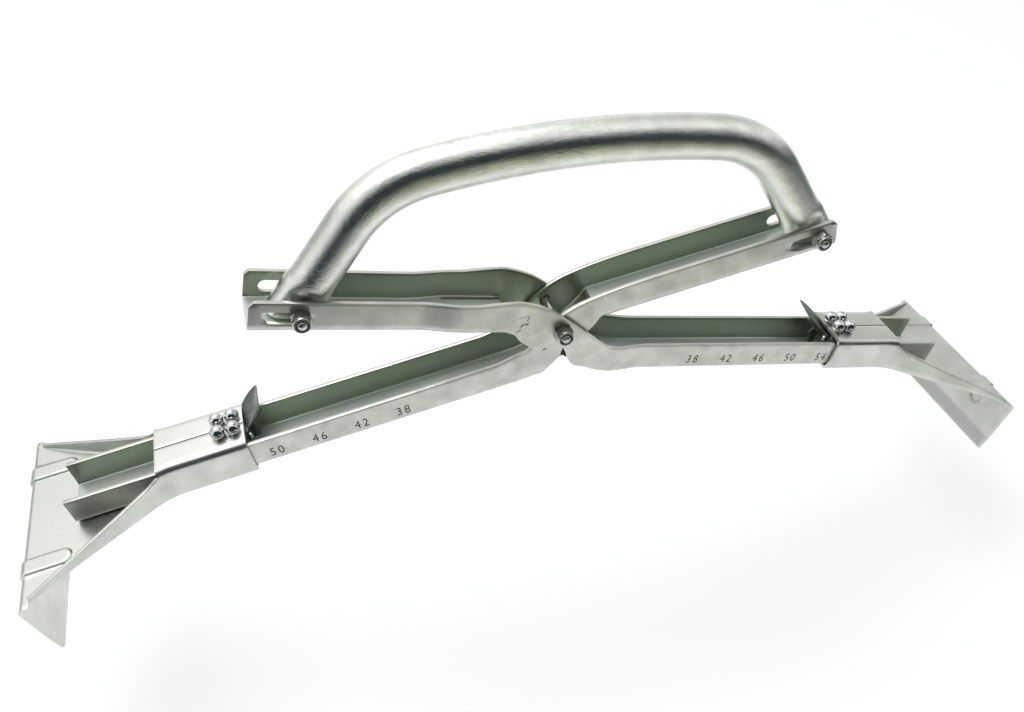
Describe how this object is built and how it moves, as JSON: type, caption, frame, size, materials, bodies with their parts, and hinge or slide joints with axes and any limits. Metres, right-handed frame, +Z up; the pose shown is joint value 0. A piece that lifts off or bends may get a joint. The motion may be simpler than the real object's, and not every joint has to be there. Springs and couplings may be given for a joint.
{
  "type": "paving slab lifter",
  "caption": "Hand tool for lifting paving slabs: a tube handle on crossed folded-steel levers with sliding wide gripping jaws that close as it is lifted.",
  "frame": {"origin": "middle of the grip, on the centreline of the handle tube", "axes": "+X to the right along the tool, +Y away from the side that carries the nuts and marks, +Z up"},
  "size_m": [0.5139, 0.1, 0.2068],
  "materials": {
    "handle_zinc": "zinc-plated tube, satin",
    "lever_zinc": "zinc-plated sheet, satin",
    "jaw_zinc": "zinc-plated sheet, satin",
    "latch_zinc": "zinc-plated spring sheet, matt",
    "fastener_zinc": "zinc-plated, satin",
    "bright_steel": "bright plated",
    "nylon": "plain nylon"
  },
  "bodies": {
    "handle": {"handle_tube": "handle_zinc", "right_bolt": "fastener_zinc", "right_nut": "fastener_zinc", "right_ring": "nylon"},
    "left_pin": {"left_bolt": "fastener_zinc"},
    "left_pin_nut": {"left_nut": "fastener_zinc", "left_ring": "nylon"},
    "front_lever": {"lever_front": "lever_zinc"},
    "middle_pin": {"pivot_bolt": "fastener_zinc", "pivot_nut": "fastener_zinc", "pivot_ring": "nylon"},
    "back_lever": {"lever_back": "lever_zinc"},
    "left_jaw": {"left_jaw": "jaw_zinc", "left_leaf": "bright_steel", "left_rivet_1": "bright_steel", "left_rivet_2": "bright_steel", "left_rivet_3": "bright_steel", "left_rivet_4": "bright_steel"},
    "right_jaw": {"right_jaw": "jaw_zinc", "right_leaf": "bright_steel", "right_rivet_1": "bright_steel", "right_rivet_2": "bright_steel", "right_rivet_3": "bright_steel", "right_rivet_4": "bright_steel"},
    "left_latch": {"left_latch": "latch_zinc", "left_stud": "bright_steel"},
    "right_latch": {"right_latch": "latch_zinc", "right_stud": "bright_steel"}
  },
  "joints": [
    {"name": "open_levers", "type": "hinge", "parent": "handle", "child": "left_pin", "pos_m": [-0.12165, 0, -0.0585], "axis": [0, 1, 0], "range_deg": [-8, 0]},
    {"name": "close_levers", "type": "hinge", "parent": "left_pin", "child": "left_pin_nut", "pos_m": [-0.12165, 0, -0.0585], "axis": [0, 1, 0], "range_deg": [0, 7]},
    {"name": "slot_run", "type": "slide", "parent": "left_pin_nut", "child": "front_lever", "axis": [0.9804, 0, -0.1972], "range_m": [0, 0.0102]},
    {"name": "pivot_open", "type": "hinge", "parent": "front_lever", "child": "middle_pin", "pos_m": [-0.00627, 0, -0.08783], "axis": [0, 1, 0], "range_deg": [0, 15.2]},
    {"name": "pivot_close", "type": "hinge", "parent": "middle_pin", "child": "back_lever", "pos_m": [-0.00627, 0, -0.08783], "axis": [0, 1, 0], "range_deg": [-15, 0]},
    {"name": "left_jaw_slide", "type": "slide", "parent": "back_lever", "child": "left_jaw", "axis": [-0.9839, 0, -0.1787], "range_m": [-0.068, 0.013]},
    {"name": "right_jaw_slide", "type": "slide", "parent": "front_lever", "child": "right_jaw", "axis": [0.9804, 0, -0.1972], "range_m": [-0.081, 0]},
    {"name": "left_latch_press", "type": "hinge", "parent": "left_jaw", "child": "left_latch", "pos_m": [-0.1526, 0, -0.12543], "axis": [0, 1, 0], "range_deg": [0, 8], "stiffness_Nm_per_rad": 0.3},
    {"name": "right_latch_press", "type": "hinge", "parent": "right_jaw", "child": "right_latch", "pos_m": [0.15237, 0, -0.13081], "axis": [0, -1, 0], "range_deg": [0, 8], "stiffness_Nm_per_rad": 0.3}
  ],
  "couplings": [
    {"joint": "slot_run", "follows": "close_levers", "m_per_rad": 0.08248},
    {"joint": "pivot_open", "follows": "open_levers", "ratio": -1.8922},
    {"joint": "pivot_close", "follows": "close_levers", "ratio": -2.1293}
  ]
}
